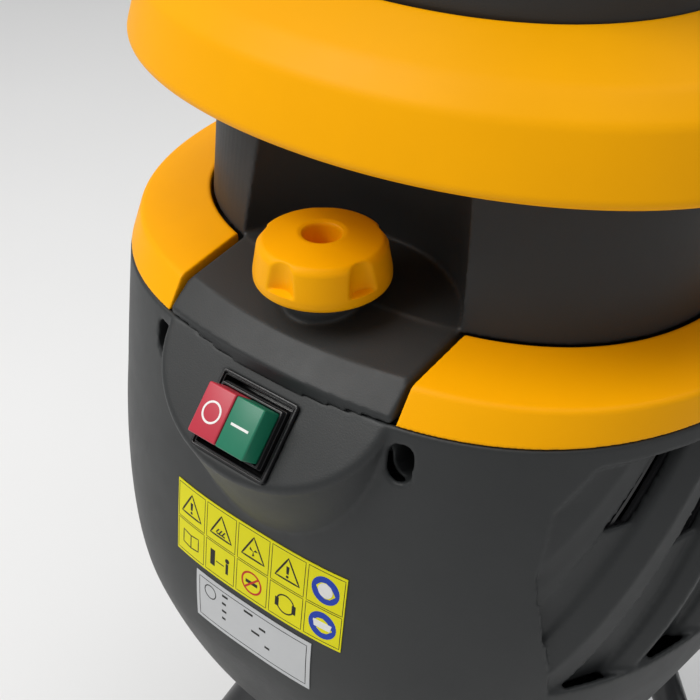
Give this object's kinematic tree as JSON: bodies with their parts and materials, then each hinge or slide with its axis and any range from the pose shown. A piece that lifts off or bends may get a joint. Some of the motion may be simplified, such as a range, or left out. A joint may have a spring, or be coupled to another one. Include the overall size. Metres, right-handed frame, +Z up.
{
  "type": "garden shredder",
  "caption": "Electric garden shredder: hinged feed hopper with yellow collar and clamp knob on a dark motor housing with push-button switch, tube stand and rear wheels.",
  "frame": {"origin": "on the ground, under the middle of the stand", "axes": "+Z up, front (switch side) faces -Y, +X to the right of a viewer who faces the machine's front from behind it"},
  "size_m": [0.415, 0.439, 0.964],
  "materials": {
    "housing_plastic": "fine grained dark grey moulding",
    "yellow_plastic": "satin warm yellow moulding",
    "black_plastic": "semi-gloss black moulding",
    "red_plastic": "satin red",
    "green_plastic": "satin green",
    "white_plastic": "natural white",
    "label_yellow": "printed film",
    "label_grey": "printed film",
    "steel": "turned and zinc plated",
    "cast_aluminium": "die cast",
    "lamination_steel": "stacked laminations",
    "copper": "enamelled copper wire",
    "brass": "turned",
    "carbon": "carbon",
    "frame_paint": "powder coated black tube",
    "rubber": "black rubber",
    "tyre": "solid tyre",
    "hub_plastic": "dark grey moulding"
  },
  "bodies": {
    "motor_base": {"motor_housing": "housing_plastic", "right_vent_grille": "housing_plastic", "left_vent_grille": "housing_plastic", "right_shoulder": "yellow_plastic", "left_shoulder": "yellow_plastic", "thread_insert": "brass", "safety_switch": "black_plastic", "switch_bezel": "black_plastic", "switch_body": "black_plastic", "power_inlet": "black_plastic", "overload_breaker": "black_plastic", "safety_label": "label_yellow", "rating_label": "label_grey", "housing_screws": "steel", "chamber_bowl": "black_plastic", "discharge_chute": "housing_plastic", "bearing_housing": "cast_aluminium", "shaft_bearings": "steel", "drive_belt": "rubber", "mount_posts": "steel", "motor_plate": "steel", "motor_stator": "lamination_steel", "field_windings": "copper", "motor_top_bell": "cast_aluminium", "motor_bottom_bell": "cast_aluminium", "carbon_brushes": "carbon", "motor_bearings": "steel", "bottom_cover": "housing_plastic", "front_leg_frame": "frame_paint", "rear_leg_frame": "frame_paint", "leg_bolts": "steel", "rubber_feet": "rubber", "wheel_axle": "steel", "axle_caps": "black_plastic", "hinge_block": "housing_plastic", "hinge_pin": "steel"},
    "hopper": {"hopper_base": "housing_plastic", "hopper_collar": "yellow_plastic", "hopper_chute": "housing_plastic", "mouth_rim": "yellow_plastic"},
    "knob_carriage": {"knob_washer": "black_plastic"},
    "knob": {"clamp_knob": "yellow_plastic", "clamp_spindle": "steel"},
    "plunger": {"interlock_plunger": "white_plastic"},
    "blade_rotor": {"blade_disc": "steel", "cutting_blades": "steel", "blade_screws": "steel", "disc_bolt": "steel", "blade_shaft": "steel", "driven_pulley": "cast_aluminium"},
    "motor_rotor": {"motor_armature": "lamination_steel", "motor_fan": "black_plastic", "motor_pulley": "cast_aluminium"},
    "stop_button": {"red_stop_button": "red_plastic"},
    "start_button": {"green_start_button": "green_plastic"},
    "reset_cap": {"reset_button": "red_plastic"},
    "left_wheel": {"left_tyre": "tyre", "left_hub": "hub_plastic"},
    "right_wheel": {"right_tyre": "tyre", "right_hub": "hub_plastic"}
  },
  "joints": [
    {"name": "hopper_tilt", "type": "hinge", "parent": "motor_base", "child": "hopper", "pos_m": [0, 0.164, 0.59], "axis": [-1, 0, 0], "range_deg": [0, 70]},
    {"name": "knob_lift", "type": "slide", "parent": "hopper", "child": "knob_carriage", "axis": [0, 0, 1], "range_m": [0, 0.0126]},
    {"name": "knob_turn", "type": "hinge", "parent": "knob_carriage", "child": "knob", "pos_m": [0, -0.1226, 0.5912], "axis": [0, 0, 1], "range_deg": [0, 1800]},
    {"name": "plunger_slide", "type": "slide", "parent": "motor_base", "child": "plunger", "axis": [0, 0, 1], "range_m": [0, 0.0031]},
    {"name": "blade_spin", "type": "hinge", "parent": "motor_base", "child": "blade_rotor", "pos_m": [0, 0.007, 0.536], "axis": [0, 0, 1], "continuous": true},
    {"name": "motor_spin", "type": "hinge", "parent": "motor_base", "child": "motor_rotor", "pos_m": [0, -0.063, 0.38], "axis": [0, 0, 1], "continuous": true},
    {"name": "stop_button_push", "type": "slide", "parent": "motor_base", "child": "stop_button", "axis": [0, 0.7443, -0.6678], "range_m": [0, 0.004], "stiffness_N_per_m": 300},
    {"name": "start_button_push", "type": "slide", "parent": "motor_base", "child": "start_button", "axis": [0, 0.7443, -0.6678], "range_m": [0, 0.004], "stiffness_N_per_m": 300},
    {"name": "reset_button_push", "type": "slide", "parent": "motor_base", "child": "reset_cap", "axis": [1, 0, 0], "range_m": [0, 0.003], "stiffness_N_per_m": 300},
    {"name": "left_wheel_spin", "type": "hinge", "parent": "motor_base", "child": "left_wheel", "pos_m": [-0.187, 0.145, 0.075], "axis": [1, 0, 0], "continuous": true},
    {"name": "right_wheel_spin", "type": "hinge", "parent": "motor_base", "child": "right_wheel", "pos_m": [0.187, 0.145, 0.075], "axis": [1, 0, 0], "continuous": true}
  ],
  "couplings": [
    {"joint": "knob_lift", "follows": "knob_turn", "m_per_rad": 0.00039789},
    {"joint": "plunger_slide", "follows": "knob_turn", "m_per_rad": 0.000095493},
    {"joint": "motor_spin", "follows": "blade_spin", "ratio": 2.8}
  ]
}
